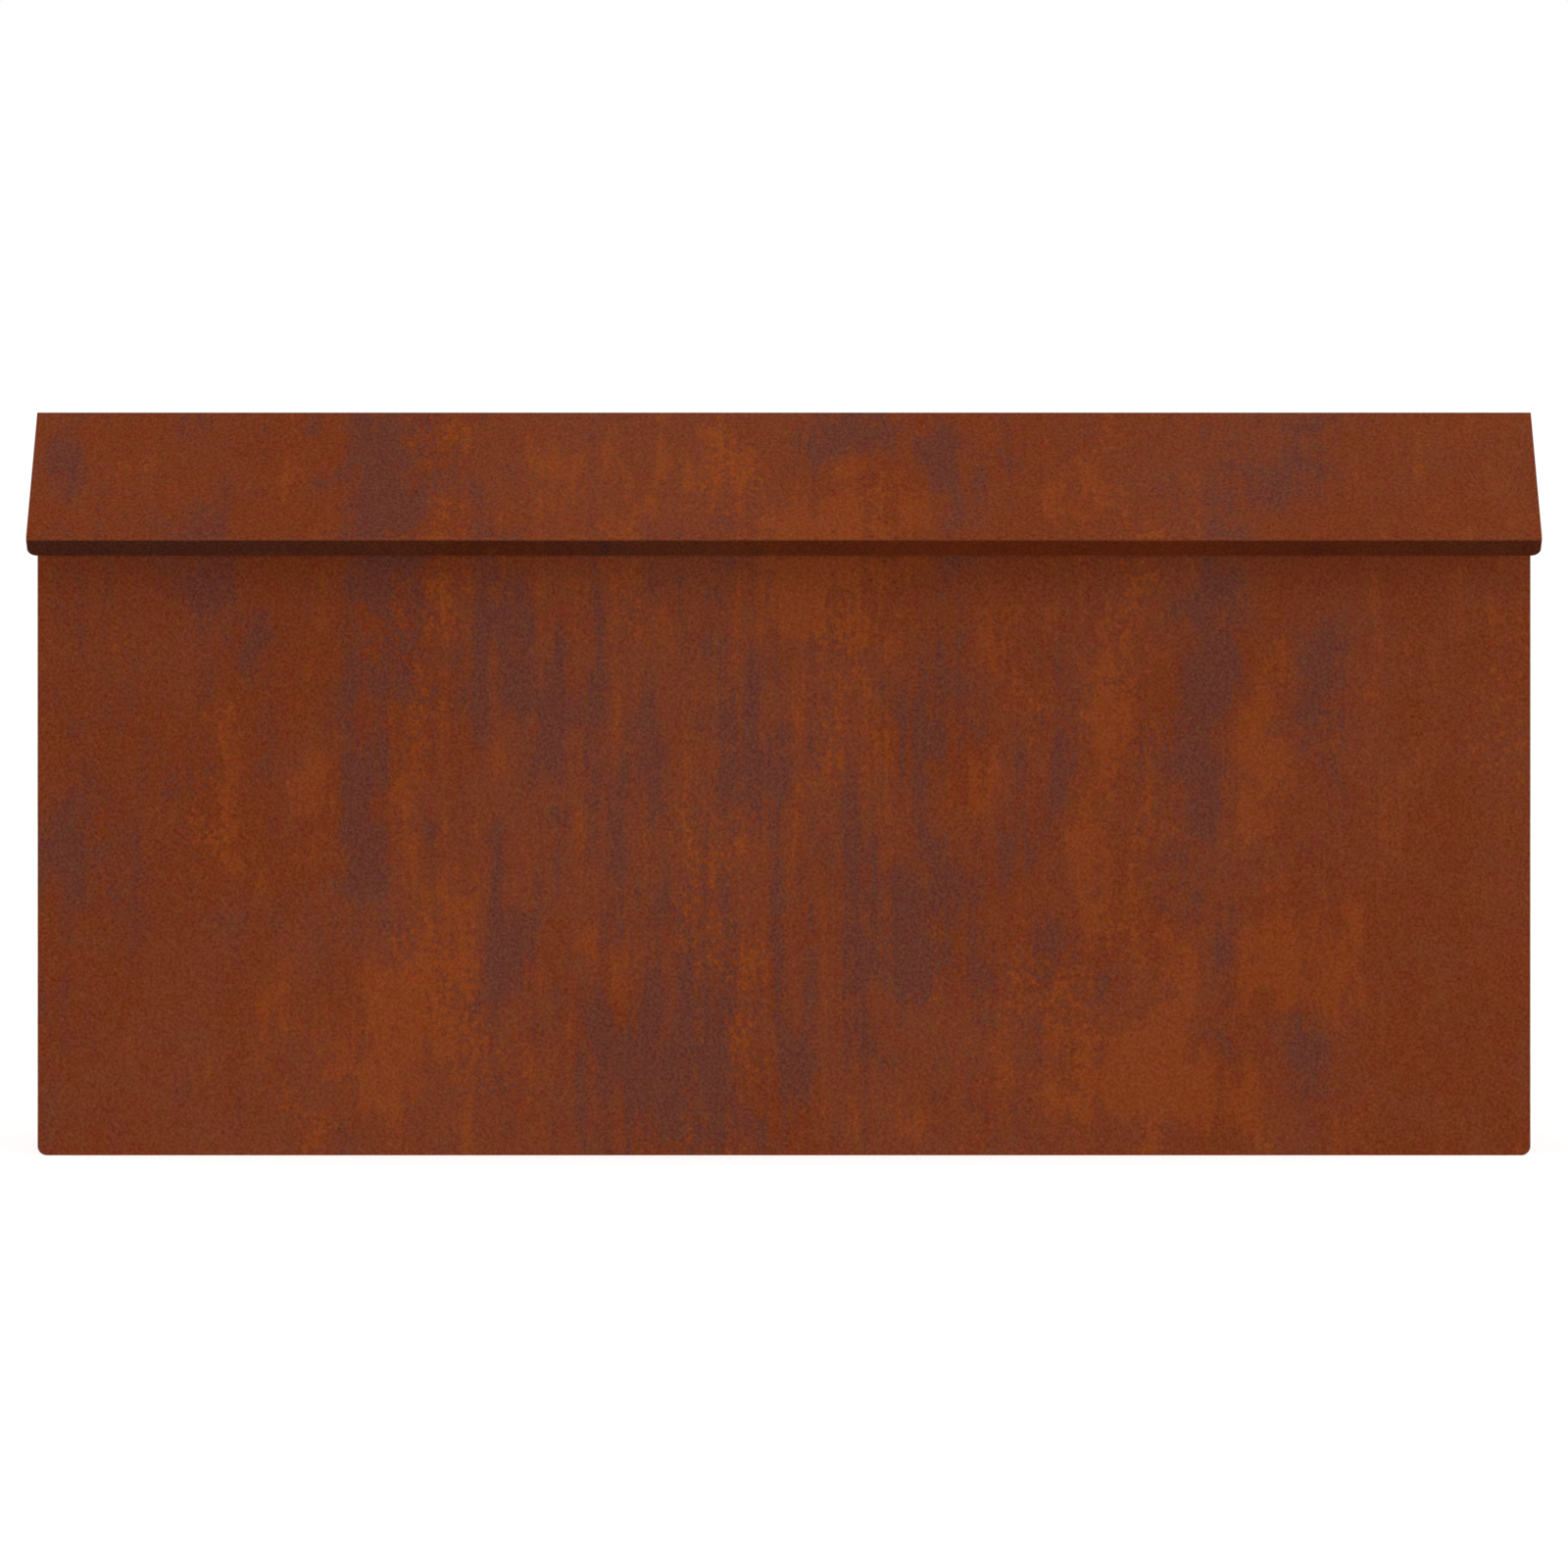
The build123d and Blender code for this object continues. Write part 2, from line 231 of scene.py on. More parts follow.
# Shifts of the noise, so that it differs on the two sides of a sheet, on the ends and in the
# front and back halves of the box
FIRST_SIDE = 0.0171
OUTER_SIDE = 2.3137
BACK_SIDE = 3.7171
RIGHT_SIDE = 5.1713
END_SIDE = 11.0171

# Listed areas where the front wall and its coping stayed cool and grey or bloomed orange:
# across, up along the sheet, half width, half height, strength
COOL_PATCHES = (
    (-0.332, 0.262, 0.024, 0.060, 1.0),
    (-0.318, 0.425, 0.036, 0.055, 0.7),
    (-0.208, 0.411, 0.042, 0.065, 0.6),
    (-0.181, 0.314, 0.014, 0.080, 0.6),
    (-0.094, 0.078, 0.052, 0.058, 0.9),
    (-0.023, 0.320, 0.022, 0.070, 0.8),
    (-0.228, 0.165, 0.030, 0.050, 0.8),
    (0.103, 0.196, 0.034, 0.070, 0.7),
    (0.343, 0.422, 0.026, 0.062, 1.0),
    (0.335, 0.285, 0.026, 0.100, 0.7),
    (0.424, 0.385, 0.024, 0.046, 0.9),
    (0.347, 0.133, 0.018, 0.052, 0.8),
    (0.410, 0.085, 0.026, 0.028, 0.8),
    (-0.567, 0.248, 0.030, 0.060, 0.6),
    (-0.465, 0.462, 0.032, 0.026, 0.7),
    (-0.433, 0.390, 0.012, 0.022, 0.6),
    (-0.571, 0.552, 0.016, 0.042, 0.8),
    (-0.323, 0.530, 0.036, 0.060, 0.7),
    (0.048, 0.557, 0.036, 0.030, 0.6),
    (0.130, 0.530, 0.016, 0.060, 0.6),
    (0.380, 0.530, 0.056, 0.060, 0.5),
)
WARM_PATCHES = (
    (0.292, 0.062, 0.085, 0.044, 1.0),
    (0.320, 0.143, 0.026, 0.032, 1.0),
    (0.415, 0.160, 0.056, 0.060, 0.8),
    (0.249, 0.243, 0.032, 0.052, 0.7),
    (0.268, 0.357, 0.018, 0.056, 0.7),
    (0.386, 0.350, 0.020, 0.085, 0.8),
    (0.143, 0.287, 0.028, 0.046, 0.8),
    (0.182, 0.416, 0.022, 0.056, 0.6),
    (0.107, 0.424, 0.032, 0.026, 0.6),
    (0.010, 0.448, 0.050, 0.034, 0.9),
    (0.085, 0.270, 0.014, 0.060, 0.7),
    (-0.374, 0.283, 0.024, 0.036, 0.8),
    (-0.303, 0.267, 0.014, 0.044, 1.0),
    (-0.271, 0.170, 0.024, 0.060, 0.7),
    (-0.145, 0.150, 0.014, 0.036, 0.7),
    (-0.307, 0.102, 0.080, 0.050, 0.6),
    (-0.445, 0.294, 0.020, 0.075, 0.5),
    (-0.330, 0.425, 0.013, 0.014, 0.8),
    (-0.279, 0.444, 0.020, 0.024, 0.7),
    (-0.382, 0.530, 0.030, 0.060, 0.5),
    (-0.185, 0.530, 0.026, 0.060, 0.4),
    (-0.063, 0.545, 0.052, 0.060, 0.5),
    (0.067, 0.497, 0.056, 0.032, 0.7),
    (0.240, 0.510, 0.046, 0.046, 0.4),
)
# Where drips from the coping run together
STREAKED = ((-0.060, 0.270, 0.220, 0.240, 1.0),)
# Along the lip, whose height is left out
RED_LIP = ((0.230, 0.0, 0.190, 1.0, 0.85),)
GREY_LIP = ((-0.560, 0.0, 0.240, 1.0, 0.85),)


def patches(recipe, place, chosen):
    """The sum of soft ellipses at chosen places, each as strong as its last number."""
    core, rim = 0.3, 1.7
    total = 0.0
    for across, up, half_width, half_height, strength in chosen:
        shape = (1 / half_width, 1 / half_height, 0)
        centre = (-across / half_width, -up / half_height, 0)
        inputs = {0: place, 1: shape, 2: centre}
        offset = recipe.node("VectorMath", {"operation": "MULTIPLY_ADD"}, inputs)
        reach = recipe.node("VectorMath", {"operation": "LENGTH"}, {0: offset}, "Value")
        total = total + step(recipe, reach, rim, core, strength)
    return total


class Sheet:
    """Where a point lies on the folded sheets, the way that rain runs down them."""

    def __init__(self, recipe):
        x, y, z = split(recipe, recipe.node("TexCoord", None, None, "Object"))
        nx, ny, nz = split(recipe, recipe.node("NewGeometry", None, None, "True Normal"))
        run_out = (1 - math.cos(COPING_SLOPE)) / math.sin(COPING_SLOPE)
        faces_x = abs(nx) > 0.5
        level = abs(nz) > 0.9
        under_lip = (nz * -1.0 > 0.7) * (1 - level)
        up = (z - run_out * (abs(y) - wall_face)) * (1 + under_lip * LIP_STRETCH)
        outer = (nx * x + ny * y > 0) * OUTER_SIDE
        right = (x * faces_x > 0) * RIGHT_SIDE
        back = (y > 0) * BACK_SIDE
        self.across = x + faces_x * (y - x)
        self.up = up + level * (y - up)
        self.side = outer + right + back + faces_x * END_SIDE + FIRST_SIDE
        self.depth = abs(y)
        self.height = z
        self.faces_down = step(recipe, nz * -1.0, 0.3, 0.7)
        self.faces_up = step(recipe, nz, 0.3, 0.6)
        self.place = joined(recipe, self.across, self.up, self.side)


class RustNoise:
    """The noises that rust is mixed from, each at its own size and drawn out by rain or not."""

    def __init__(self, recipe, sheet):
        flat = sheet.place
        rain = joined(recipe, sheet.across, sheet.up * 0.07, sheet.side)
        soft_rain = joined(recipe, sheet.across, sheet.up * 0.6, sheet.side)
        turn = {"rotation_type": "EULER_XYZ"}
        loose = recipe.node("VectorRotate", turn, {"Vector": flat, "Rotation": (0.6, 0.5, 0.7)})
        self.cloud = noise(recipe, moved(recipe, soft_rain, (5.3, 2.2, 0)), 4, 4, 0.6)
        self.cluster = noise(recipe, moved(recipe, soft_rain, (2.9, 6.1, 0)), 9, 4, 0.6)
        self.blotch = noise(recipe, moved(recipe, flat, (0, 0, 3.3)), 14, 5, 0.62)
        self.lace = noise(recipe, soft_rain, 30, 8, 0.72)
        self.streak = noise(recipe, rain, 74, 5, 0.62)
        self.tinge = noise(recipe, moved(recipe, loose, (0, 0, 4.1)), 85, 2, 0.5)
        self.fleck = noise(recipe, moved(recipe, flat, (1.7, 2.9, 0)), 150, 3, 0.6)
        self.speck = noise(recipe, loose, 180, 4, 0.62)
        self.grit = noise(recipe, loose, 410, 3, 0.70)


def wandered(recipe, sheet):
    """Across and up, pushed about so that the listed areas get ragged edges."""
    wander = noise(recipe, moved(recipe, sheet.place, (3.1, 7.7, 0)), 17, 5, 0.66) * 0.09
    drift = noise(recipe, moved(recipe, sheet.place, (8.4, 0.6, 0)), 17, 5, 0.66) * 0.13
    return sheet.across + wander, sheet.up + drift


def chosen_lean(recipe, sheet, rust, warped):
    """How far the front's rust leans to orange, and how streaked, lively and brown it is."""
    place = joined(recipe, *warped, 0.0)
    warm = patches(recipe, place, WARM_PATCHES)
    cool = patches(recipe, place, COOL_PATCHES)
    streaked = patches(recipe, place, STREAKED)
    calm = step(recipe, sheet.across, 0.42, 0.52)
    quiet = step(recipe, sheet.across, -0.36, -0.50)
    lean = warm * 0.50 - cool * 0.46 - streaked * 0.12 + rust.cloud * 0.5 + calm * 0.12
    liveliness = 1 - calm * 0.6 - quiet * 0.3
    browning = streaked * 0.1 - calm * 0.08
    return lean, streaked, liveliness, browning


def random_lean(recipe, rust):
    """The same four values for the other sheets, wherever the noise puts them."""
    lean = rust.cloud * 2.2 + rust.blotch * 0.8
    streaked = step(recipe, rust.blotch, -0.1, 0.15)
    liveliness, browning = 1.0, 0.0
    return lean, streaked, liveliness, browning


def rust_colour(recipe, rust, lean, streaked, liveliness, browning):
    """Rust that shades from grey-purple film through brown to orange flakes, with dark pits."""
    runs = rust.streak * (streaked * 1.5 + 1.0)
    flaking = step(recipe, rust.cluster, 0.00, 0.16)
    soft = rust.lace * 1.8 + rust.speck * (0.3 + flaking * 1.7) + runs
    crisp = rust.lace * 2.0 + rust.speck * (0.5 + flaking * 3.0) + runs
    brown = rust.blotch * 0.9 + rust.cloud + rust.streak * 0.3 + browning
    colour = mix(recipe, step(recipe, brown, -0.2, 0.2), RUST_RED, RUST_BROWN)
    film = step(recipe, (lean + soft * liveliness) * -1.0, 0.02, 0.42, 0.68)
    colour = mix(recipe, film, colour, PURPLE_GREY)
    bloom = step(recipe, lean + crisp * liveliness, 0.12, 0.38) * (0.50 + flaking * 0.20)
    colour = mix(recipe, bloom, colour, ORANGE)
    pits = step(recipe, rust.fleck + rust.blotch * 0.35, 0.19, 0.30, 0.4)
    return mix(recipe, pits, colour, DARK_PIT)


def lip_and_fold(recipe, sheet, warped, colour):
    """Red and grey stretches of the lip, the coping's fold painted lighter as worn rust and as a
    highlight, and painted shade on the wall behind the lip.
    """
    along = joined(recipe, warped[0], 0.0, 0.0)
    colour = mix(recipe, sheet.faces_down * patches(recipe, along, RED_LIP), colour, LIP_RED)
    colour = mix(recipe, sheet.faces_down * patches(recipe, along, GREY_LIP), colour, LIP_GREY)
    off_wall = sheet.depth > wall_face + WELD_LEG
    # Worn, lighter rust along the coping's lower fold, painted also as a highlight on the fold's edge
    fold = step(recipe, abs(sheet.up - fold_height), 0.0030, 0.0008, 0.5)
    colour = mix(recipe, fold * off_wall, colour, WORN_FOLD_HIGHLIGHT)
    # Painted shade: the outer face of the wall is darkened by 16% from just under the lip's edge
    # upwards, where the coping overhangs it
    outside = sheet.depth > wall_face - SHEET / 2
    painted_lip_shade = step(recipe, sheet.height, painted_shade_line - 0.003, painted_shade_line + 0.001, 0.16)
    return scaled(recipe, colour, 1 - painted_lip_shade * outside * (1 - off_wall))


def tinted(recipe, colour, tint, amount):
    """A colour with an amount of a tint added, which may be negative."""
    inputs = {0: scaled(recipe, tint, amount), 1: colour}
    return recipe.node("VectorMath", {"operation": "ADD"}, inputs)


def weathered_and_shaded(recipe, sheet, rust, colour):
    """Grit and magenta tinges everywhere, with painted shade on faces that look down and, less, on
    faces that look up.
    """
    colour = tinted(recipe, colour, GRIT, rust.grit)
    colour = tinted(recipe, colour, MAGENTA_TINGE, rust.tinge)
    # Painted shade: faces that look down, such as the lip, are darkened by about a fifth
    painted_underside_shade = sheet.faces_down * (1 - rust.cloud * 2.4 - rust.lace * 1.2) * 0.21
    # Painted shade: faces that look up, such as the coping's top, are darkened by 5%
    painted_top_shade = sheet.faces_up * 0.05
    return scaled(recipe, colour, 1 - painted_underside_shade - painted_top_shade + rust.cloud * 0.16)


def weathering_steel(name, chosen):
    """Rusted sheet under a gritty crust, with its coloured areas listed or random."""
    recipe = new_recipe(name)
    sheet = Sheet(recipe)
    rust = RustNoise(recipe, sheet)
    if chosen:
        warped = wandered(recipe, sheet)
        colour = rust_colour(recipe, rust, *chosen_lean(recipe, sheet, rust, warped))
        colour = lip_and_fold(recipe, sheet, warped, colour)
    else:
        colour = rust_colour(recipe, rust, *random_lean(recipe, rust))
    colour = weathered_and_shaded(recipe, sheet, rust, colour)
    roughness = 0.86 + rust.grit * 0.3
    height = rust.grit * 0.7 + rust.tinge * 0.4 + rust.lace
    return finish_surface(recipe, colour, roughness, height, 0.00025, {"Specular IOR Level": 0.06})


# ------------------------------------------------------------- the other finishes

CRYSTAL_DARK = (0.43, 0.45, 0.47, 1)
CRYSTAL_PALE = (0.60, 0.61, 0.62, 1)
RUST_WASH = (0.30, 0.105, 0.035, 1)
PLATE_BLUISH = (0.55, 0.56, 0.58, 1)
PLATE_YELLOWISH = (0.66, 0.64, 0.57, 1)
RUST_SPOT = (0.26, 0.10, 0.04, 1)
BLACK_RUBBER = (0.016, 0.016, 0.017, 1)
PALE_DUST = (0.070, 0.062, 0.055, 1)


def galvanised_steel():
    """Hot-dip zinc: a patchwork of crystals, dulled, with rust run down onto it near the walls."""
    recipe = new_recipe("galvanised_steel")
    place = recipe.node("TexCoord", None, None, "Object")
    x, y, z = split(recipe, place)
    bend = noise(recipe, place, 40, 3) * 0.02
    bent = joined(recipe, x + bend, y + bend, z + bend)
    crystal = recipe.node("TexVoronoi", None, {"Vector": bent, "Scale": 75}, "Color")
    feather = recipe.node("TexVoronoi", None, {"Vector": bent, "Scale": 210}, "Color")
    coarse, shine = split(recipe, crystal)[:2]
    fine = split(recipe, feather)[0]
    facet = coarse * 0.6 + fine * 0.4
    cloud = noise(recipe, place, 9, 4, 0.6)
    grain = noise(recipe, place, 700, 2)
    colour = mix(recipe, facet, CRYSTAL_DARK, CRYSTAL_PALE)
    colour = scaled(recipe, colour, 1 + cloud * 0.35 + grain * 0.12)
    near_wall = step(recipe, abs(y), 0.150, 0.246)
    drips = step(recipe, noise(recipe, place, 30, 5, 0.65) + near_wall * 0.25, 0.10, 0.38, 0.55)
    colour = mix(recipe, drips, colour, RUST_WASH)
    roughness = 0.42 + shine * 0.16 + drips * 0.3
    height = grain + facet * 0.3
    return finish_surface(recipe, colour, roughness, height, 0.00006, {"Metallic": 0.9 - drips * 0.8})


def zinc_plated_steel():
    """Bright zinc plate on fasteners and feet, clouded, with rust starting in places."""
    recipe = new_recipe("zinc_plated_steel")
    place = recipe.node("TexCoord", None, None, "Object")
    cloud = noise(recipe, place, 60, 4, 0.6)
    grain = noise(recipe, place, 1500, 2)
    colour = mix(recipe, cloud + 0.5, PLATE_BLUISH, PLATE_YELLOWISH)
    spots = step(recipe, noise(recipe, place, 210, 4, 0.65), 0.15, 0.24, 0.6)
    colour = mix(recipe, spots, colour, RUST_SPOT)
    roughness = 0.30 + cloud * 0.25 + spots * 0.4
    return finish_surface(recipe, colour, roughness, grain, 0.00003, {"Metallic": 1.0 - spots * 0.8})


def weld_metal():
    """Weld beads that have rusted with the sheet: darker, with scale along the ripples."""
    recipe = new_recipe("rusted_weld")
    place = recipe.node("TexCoord", None, None, "Object")
    scale = noise(recipe, place, 260, 4, 0.65)
    grain = noise(recipe, place, 1200, 2)
    colour = mix(recipe, step(recipe, scale, -0.12, 0.14), PURPLE_GREY, RUST_RED)
    colour = scaled(recipe, colour, 0.9 + grain * 0.4)
    roughness = 0.72 + scale * 0.3
    height = grain + scale
    return finish_surface(recipe, colour, roughness, height, 0.00015, {"Specular IOR Level": 0.2})


def sole_rubber():
    """Moulded black rubber with pale dust rubbed into its grain."""
    recipe = new_recipe("sole_rubber")
    place = recipe.node("TexCoord", None, None, "Object")
    dust = step(recipe, noise(recipe, place, 130, 5, 0.65), -0.02, 0.3, 0.6)
    grain = noise(recipe, place, 1400, 2)
    colour = mix(recipe, dust, BLACK_RUBBER, PALE_DUST)
    return finish_surface(recipe, colour, 0.68 + dust * 0.2, grain, 0.00008)


# ------------------------------------------------------------------ mesh building


def solid_boxes(node):
    """The box of each separate solid in a node, as (low, high)."""
    work = bmesh.new()
    work.from_mesh(nodes[node].data)
    bmesh.ops.remove_doubles(work, verts=work.verts, dist=SAME_POINT)
    waiting = set(work.verts)
    boxes = []
    while waiting:
        group, reached = set(), [waiting.pop()]
        while reached:
            vert = reached.pop()
            group.add(vert)
            near = {edge.other_vert(vert) for edge in vert.link_edges} & waiting
            waiting -= near
            reached.extend(near)
        low = Vector(min(v.co[i] for v in group) for i in range(3))
        high = Vector(max(v.co[i] for v in group) for i in range(3))
        boxes.append((low, high))
    work.free()
    return sorted(boxes, key=lambda box: tuple(box[0]))


def standing(box, direction):
    """(place, height): local +Z goes along the direction from the middle of the box's base."""
    low, high = box
    axis, across = Vector(direction), Vector((1, 0, 0))
    centre, half = (low + high) / 2, (high - low) / 2
    reach = abs(half.dot(axis))
    base = centre - axis * reach
    turn = Matrix((across, axis.cross(across), axis)).transposed().to_4x4()
    return Matrix.Translation(base) @ turn, 2 * reach


def lathe(work, place, outline, steps=24, bored=False):
    """Turns an outline of (radius, height) points; a point may be a function of the angle."""
    rows = []
    for point in outline:
        row = []
        for turn in range(steps):
            angle = 2 * math.pi * turn / steps
            radius, height = point(angle) if callable(point) else point
            spot = Vector((radius * math.cos(angle), radius * math.sin(angle), height))
            row.append(work.verts.new(place @ spot))
        rows.append(row)
    pairs = list(zip(rows, rows[1:]))
    if bored:
        pairs.append((rows[-1], rows[0]))
    for low, high in pairs:
        for turn in range(steps):
            after = (turn + 1) % steps
            work.faces.new((low[turn], low[after], high[after], high[turn]))


def hexagon_reach(flats, angle):
    """How far a hexagon's side is from its middle, with a corner at angle 0."""
    from_flat = angle % (math.pi / 3) - math.pi / 6
    return flats / 2 / math.cos(from_flat)


def hexagon_sides(flats, low, high):
    """Outline points of a hexagon whose turned corners curve down at both faces."""
    face = flats / 2 * NUT_FACE

    def corner(angle):
        reach = hexagon_reach(flats, angle)
        return reach, (reach - face) * math.tan(NUT_BEVEL)

    def lower(angle):
        reach, drop = corner(angle)
        return reach, low + drop

    def upper(angle):
        reach, drop = corner(angle)
        return reach, high - drop

    return [(face, low), lower, upper, (face, high)]


def hexagon_nut(work, place, flats, height, bore):
    """A nut standing on its place, with a short countersink at both ends of its bore."""
    lead = 0.0005
    outline = hexagon_sides(flats, 0, height)
    outline += [(bore + lead, height), (bore, height - lead), (bore, lead), (bore + lead, 0)]
    lathe(work, place, outline, steps=48, bored=True)


def thread_root(crest, pitch):
    """A thread's radius at the bottom of its groove."""
    return crest - THREAD_DEPTH * pitch


def screw_thread(work, place, low, high, crest, pitch, steps=24):
    """A right-handed thread between two heights, open at both ends, its tips bevelled."""
    root = thread_root(crest, pitch)
    # Share of a pitch and radius at each corner of the groove and the ridge
    profile = ((0.0, root), (0.25, root), (0.5625, crest), (0.6875, crest))
    turns = math.ceil((high - low) / pitch) + 2
    rows = []
    for turn in range(-1, turns):
        for fraction, radius in profile:
            row = []
            for part in range(steps):
                angle = 2 * math.pi * part / steps
                height = low + pitch * (turn + fraction + part / steps)
                height = min(max(height, low), high)
                reach = min(radius, root + high - height, root + height - low)
                spot = Vector((reach * math.cos(angle), reach * math.sin(angle), height))
                row.append(work.verts.new(place @ spot))
            rows.append(row)
    for index in range(len(rows) - len(profile) - 1):
        first, second = rows[index], rows[index + 1]
        first = first + [rows[index + len(profile)][0]]
        second = second + [rows[index + 1 + len(profile)][0]]
        for part in range(steps):
            corners = (first[part], first[part + 1], second[part + 1], second[part])
            work.faces.new(corners)


def threaded_rod(work, place, low, high, crest, pitch, below=(), above=()):
    """A thread closed at each end, or carried on there by the outline given."""
    root = thread_root(crest, pitch)
    screw_thread(work, place, low, high, crest, pitch)
    lathe(work, place, [*(below or [(0, low)]), (root, low)])
    lathe(work, place, [(root, high), *(above or [(0, high)])])


def weld_bead(work, start, end, first_wall, second_wall):
    """A fillet weld in the corner between two walls, given by their directions from the corner."""
    length = (end - start).length
    along = (end - start).normalized()
    spacing, ripple, taper, sunk = 0.0009, 0.0024, 0.004, 0.0003
    end_size, ripple_size, uneven, flat_middle = 0.45, 0.10, 0.05, 0.86
    count = max(4, round(length / spacing))
    arc = [math.radians(degrees) for degrees in (-12, 12, 34, 56, 78, 102)]
    rows = []
    for station in range(count + 1):
        gone = length * station / count
        end_taper = min(1.0, end_size + gone / taper, end_size + (length - gone) / taper)
        wave = 1 + ripple_size * math.cos(2 * math.pi * gone / ripple)
        size = WELD_LEG * end_taper * (wave + random.uniform(-uneven, uneven))
        centre = start + along * gone
        row = [work.verts.new(centre - (first_wall + second_wall) * sunk)]
        for angle in arc:
            out = first_wall * math.cos(angle) + second_wall * math.sin(angle)
            bulge = flat_middle if abs(angle - math.pi / 4) < math.radians(20) else 1.0
            row.append(work.verts.new(centre + out * size * bulge))
        rows.append(row)
    for low, high in zip(rows, rows[1:]):
        for index in range(len(low)):
            after = (index + 1) % len(low)
            work.faces.new((low[index], low[after], high[after], high[index]))
    work.faces.new(rows[0][::-1])
    work.faces.new(rows[-1])


def make_piece(name, work, material, body, replaced=(), sharp=35):
    """Turns the built mesh into a piece that rides on a body; edges past sharp degrees stay sharp."""
    bmesh.ops.remove_doubles(work, verts=work.verts, dist=SAME_POINT)
    bmesh.ops.dissolve_degenerate(work, edges=work.edges, dist=SAME_POINT / 10)
    bmesh.ops.recalc_face_normals(work, faces=work.faces)
    for face in work.faces:
        face.smooth = True
    limit = math.radians(sharp)
    for edge in work.edges:
        edge.smooth = edge.calc_face_angle(0) < limit
    mesh = bpy.data.meshes.new(name)
    work.to_mesh(mesh)
    work.free()
    mesh.materials.append(material)
    piece = bpy.data.objects.new(name, mesh)
    bpy.context.scene.collection.objects.link(piece)
    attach(piece, body)
    if replaced:
        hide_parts(*replaced)
    return piece


# ------------------------------------------------------------- the small pieces


def inward(face):
    """The way from a wall's face into the box."""
    return (0, 1, 0) if face == "front" else (0, -1, 0)


def wall_studs(face, zinc):
    """The threaded studs that are welded to the inside of a long wall."""
    work = bmesh.new()
    for box in solid_boxes(f"{face}_weld_studs"):
        place, length = standing(box, inward(face))
        crest = (box[1].x - box[0].x) / 2
        threaded_rod(work, place, 0, length, crest, M8_PITCH)
    names = (f"{face}_weld_studs",)
    make_piece(f"{face}_threaded_studs", work, zinc, "planter", names)


def nuts(node, name, direction, flats_axis, bore, zinc):
    """Nuts with bevelled corners and countersunk bores; their flats are square to flats_axis."""
    work = bmesh.new()
    for box in solid_boxes(node):
        place, height = standing(box, direction)
        flats = (box[1] - box[0])[flats_axis]
        hexagon_nut(work, place, flats, height, bore)
    make_piece(name, work, zinc, "planter", (node,))


def tie_bolts(zinc):
    """The two bolts through the ends of the cross tie, with bevelled heads."""
    work = bmesh.new()
    for box in solid_boxes("tie_bolts"):
        outward = (0, -1, 0) if box[0].y < 0 else (0, 1, 0)
        place, length = standing(box, outward)
        flats = box[1].z - box[0].z
        head = [(0, 0), *hexagon_sides(flats, 0, BOLT_HEAD), (M8_R, BOLT_HEAD)]
        threaded_rod(work, place, BOLT_HEAD, length, M8_R, M8_PITCH, head)
    make_piece("tie_hexagon_bolts", work, zinc, "planter", ("tie_bolts",))


def foot_middle(corner):
    """A place on the ground, on the axis of a foot."""
    low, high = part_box(f"{corner}_foot_pad")
    return Matrix.Translation(((low.x + high.x) / 2, (low.y + high.y) / 2, 0))


def foot_sole(corner, rubber):
    """A moulded sole with rings that grip, under the pad."""
    low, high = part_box(f"{corner}_foot_sole")
    radius, rings, groove, flank, rim = (high.x - low.x) / 2, 5, 0.0011, 0.0004, 0.0006
    width = radius / (rings + 0.5)
    tread, groove_floor, groove_mouth = width * 0.62, width * 0.28, width * 0.38
    outline = [(0, low.z)]
    for ring in range(rings):
        edge = width * ring + tread
        outline += [(edge, low.z), (edge + flank, low.z + groove)]
        outline += [(edge + groove_floor, low.z + groove), (edge + groove_mouth, low.z)]
    outline += [(radius - rim, low.z), (radius, low.z + rim)]
    outline += [(radius, high.z - rim), (radius - rim, high.z), (0, high.z)]
    work = bmesh.new()
    lathe(work, foot_middle(corner), outline, steps=64)
    names = (f"{corner}_foot_sole",)
    make_piece(f"{corner}_ribbed_sole", work, rubber, f"{corner}_foot", names)


def arc_points(centre, radius, start, end, count=5):
    """Points of an arc in an outline, from one angle to another in degrees."""
    points = []
    for index in range(count + 1):
        angle = math.radians(start + (end - start) * index / count)
        points.append((centre[0] + radius * math.cos(angle), centre[1] + radius * math.sin(angle)))
    return points


def foot_pad(corner, zinc):
    """A turned pad: a disc with a rounded rim and a boss that is filleted into it."""
    low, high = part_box(f"{corner}_foot_pad")
    radius = (high.x - low.x) / 2
    disc_top = low.z + PAD_DISC
    rim, fillet, under, edge, lead, end_gap = 0.002, 0.003, 0.001, 0.0008, 0.0006, 0.0004
    bore_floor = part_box(f"{corner}_foot_spindle")[0].z - end_gap
    outline = [(0, low.z), (radius - under, low.z), (radius, low.z + under)]
    outline += arc_points((radius - rim, disc_top - rim), rim, 0, 90)
    outline += arc_points((PAD_BOSS_R + fillet, disc_top + fillet), fillet, 270, 180)
    outline += [(PAD_BOSS_R, high.z - edge), (PAD_BOSS_R - edge, high.z)]
    outline += [(PAD_BORE_R + lead, high.z), (PAD_BORE_R, high.z - lead)]
    outline += [(PAD_BORE_R, bore_floor), (0, bore_floor)]
    work = bmesh.new()
    lathe(work, foot_middle(corner), outline, steps=64)
    names = (f"{corner}_foot_pad",)
    make_piece(f"{corner}_turned_pad", work, zinc, f"{corner}_foot", names)


